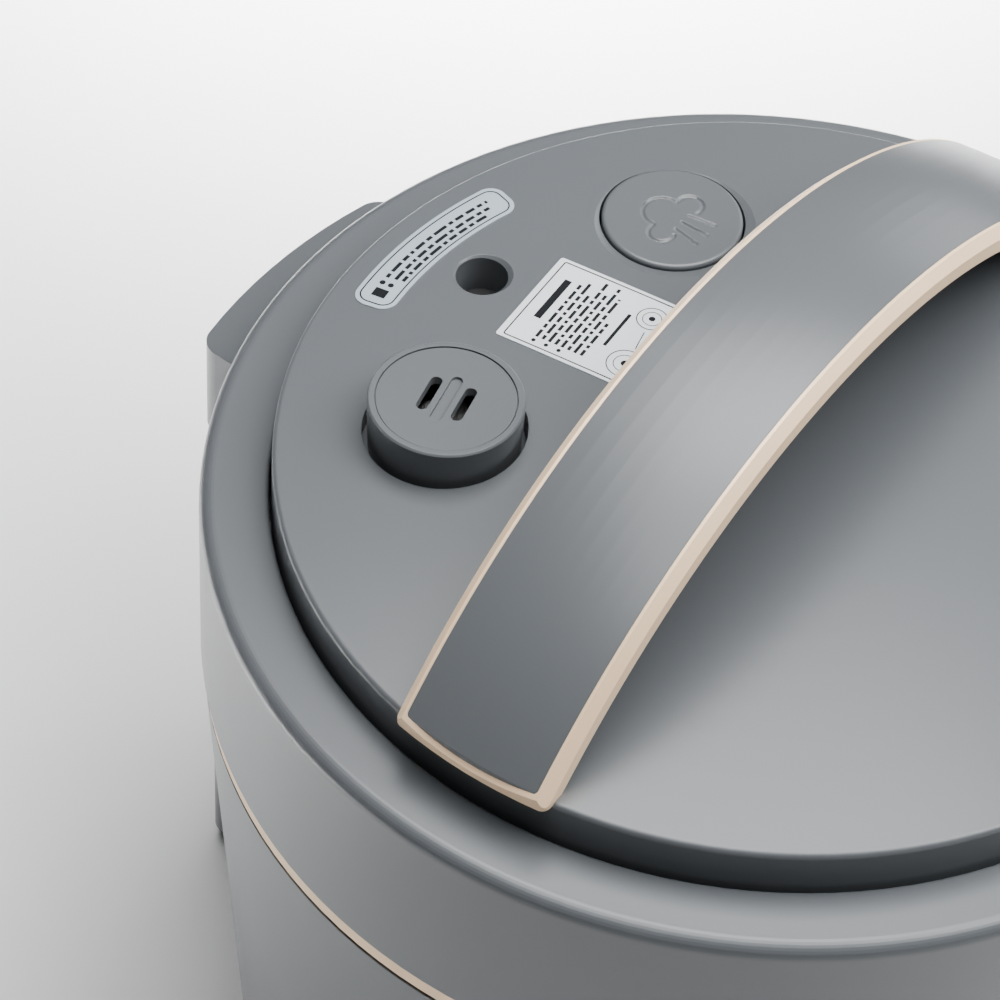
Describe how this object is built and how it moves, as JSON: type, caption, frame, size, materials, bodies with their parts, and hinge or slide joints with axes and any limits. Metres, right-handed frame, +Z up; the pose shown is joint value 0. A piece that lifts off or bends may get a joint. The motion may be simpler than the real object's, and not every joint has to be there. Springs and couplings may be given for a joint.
{
  "type": "electric pressure cooker",
  "caption": "Round electric pressure cooker: grey body with a rose-gold ring, lid with an arched handle, exhaust valve, push button, pressure pin and a removable pot",
  "frame": {"origin": "on the body axis, in the plane that the feet stand on, marked by the mount rest_centre", "axes": "+Z up along the body axis, front with the control panel towards -Y, handle along X, rear spine with the power inlet towards +Y"},
  "size_m": [0.3, 0.3204, 0.324],
  "materials": {
    "aluminium": "cast",
    "black_plastic": "matte",
    "board": "solder mask",
    "brass": "machined",
    "ceramic": "unglazed",
    "cup": "translucent moulding",
    "element": "oxidised sheath",
    "grey_shell": "fine satin moulding",
    "key": "satin",
    "label_blue": "laminated",
    "label_white": "laminated",
    "rose_gold": "satin rose-gold coating",
    "rubber": "matte",
    "silicone": "satin silicone",
    "steel": "brushed",
    "stopper": "satin silicone",
    "window": "gloss"
  },
  "bodies": {
    "base": {"upper_collar": "grey_shell", "trim_ring": "rose_gold", "joint_gasket": "rubber", "lower_housing": "grey_shell", "base_plate": "black_plastic", "base_screws": "steel", "feet": "rubber", "outer_liner": "steel", "liner_screws": "steel", "heat_plate": "aluminium", "heating_element": "element", "thermal_fuse": "ceramic", "pressure_switch": "black_plastic", "sensor_spring": "steel", "board_bracket": "black_plastic", "power_board": "board", "power_inlet": "black_plastic", "inlet_pins": "brass", "control_panel": "black_plastic", "display_window": "window", "control_board": "board"},
    "pot": {"inner_pot": "steel"},
    "sensor": {"temp_sensor": "steel"},
    "cup": {"condensate_cup": "cup"},
    "start": {"start_key": "key"},
    "cancel": {"cancel_key": "key"},
    "menu": {"menu_key": "key"},
    "plus": {"plus_key": "key"},
    "minus": {"minus_key": "key"},
    "seal": {"sealing_ring": "silicone", "seal_rack": "steel", "rack_pin": "steel"},
    "lid": {"lid_cover": "grey_shell", "lid_plate": "steel", "lid_screws": "steel", "handle_strap": "grey_shell", "handle_trim": "rose_gold", "handle_underside": "grey_shell", "handle_screws": "steel", "arc_label": "label_blue", "square_label": "label_white", "exhaust_pipe": "steel", "lever_bracket": "black_plastic", "lever_pin": "steel", "anti_block_cover": "steel", "button_spring": "steel"},
    "cap": {"exhaust_cap": "grey_shell"},
    "weight": {"valve_weight": "steel"},
    "button": {"exhaust_button": "grey_shell"},
    "lever": {"vent_lever": "black_plastic"},
    "pin": {"pressure_pin": "black_plastic", "pin_stopper": "stopper"}
  },
  "joints": [
    {"name": "pot_turn", "type": "hinge", "parent": "base", "child": "pot", "pos_m": [0, 0, 0.07], "axis": [0, 0, 1], "continuous": true},
    {"name": "sensor_press", "type": "slide", "parent": "base", "child": "sensor", "axis": [0, 0, -1], "range_m": [0, 0.0025], "stiffness_N_per_m": 300, "springref_m": -0.0005, "deforming": ["sensor_spring"]},
    {"name": "cup_slide", "type": "slide", "parent": "base", "child": "cup", "axis": [0.0262, 0.9997, 0], "range_m": [0, 0.04]},
    {"name": "start_press", "type": "slide", "parent": "base", "child": "start", "axis": [0, 0.9978, 0.0669], "range_m": [0, 0.0012], "stiffness_N_per_m": 900, "springref_m": -0.0003},
    {"name": "cancel_press", "type": "slide", "parent": "base", "child": "cancel", "axis": [0.3083, 0.9489, 0.0668], "range_m": [0, 0.0012], "stiffness_N_per_m": 900, "springref_m": -0.0003},
    {"name": "menu_press", "type": "slide", "parent": "base", "child": "menu", "axis": [-0.3083, 0.9489, 0.0668], "range_m": [0, 0.0012], "stiffness_N_per_m": 900, "springref_m": -0.0003},
    {"name": "plus_press", "type": "slide", "parent": "base", "child": "plus", "axis": [-0.1561, 0.9855, 0.0668], "range_m": [0, 0.0012], "stiffness_N_per_m": 900, "springref_m": -0.0003},
    {"name": "minus_press", "type": "slide", "parent": "base", "child": "minus", "axis": [0.1561, 0.9855, 0.0668], "range_m": [0, 0.0012], "stiffness_N_per_m": 900, "springref_m": -0.0003},
    {"name": "lid_lift", "type": "slide", "parent": "base", "child": "seal", "axis": [0, 0, 1], "range_m": [0, 0.08]},
    {"name": "lid_turn", "type": "hinge", "parent": "seal", "child": "lid", "pos_m": [0, 0, 0.2386], "axis": [0, 0, 1], "range_deg": [0, 30]},
    {"name": "cap_pull", "type": "slide", "parent": "lid", "child": "cap", "axis": [0, 0, 1], "range_m": [0, 0.025]},
    {"name": "button_press", "type": "slide", "parent": "lid", "child": "button", "axis": [0, 0, -1], "range_m": [0, 0.003], "stiffness_N_per_m": 900, "springref_m": -0.0004, "deforming": ["button_spring"]},
    {"name": "lever_tilt", "type": "hinge", "parent": "lid", "child": "lever", "pos_m": [0.00434, 0.07142, 0.2512], "axis": [0.0057, 1, 0], "range_deg": [0, 3.5]},
    {"name": "weight_rise", "type": "slide", "parent": "lid", "child": "weight", "axis": [0, 0, 1], "range_m": [0, 0.003]},
    {"name": "pin_rise", "type": "slide", "parent": "lid", "child": "pin", "axis": [0, 0, 1], "range_m": [0, 0.0045]}
  ],
  "couplings": [
    {"joint": "lever_tilt", "follows": "button_press", "rad_per_m": 19.37},
    {"joint": "weight_rise", "follows": "button_press", "ratio": 1}
  ]
}
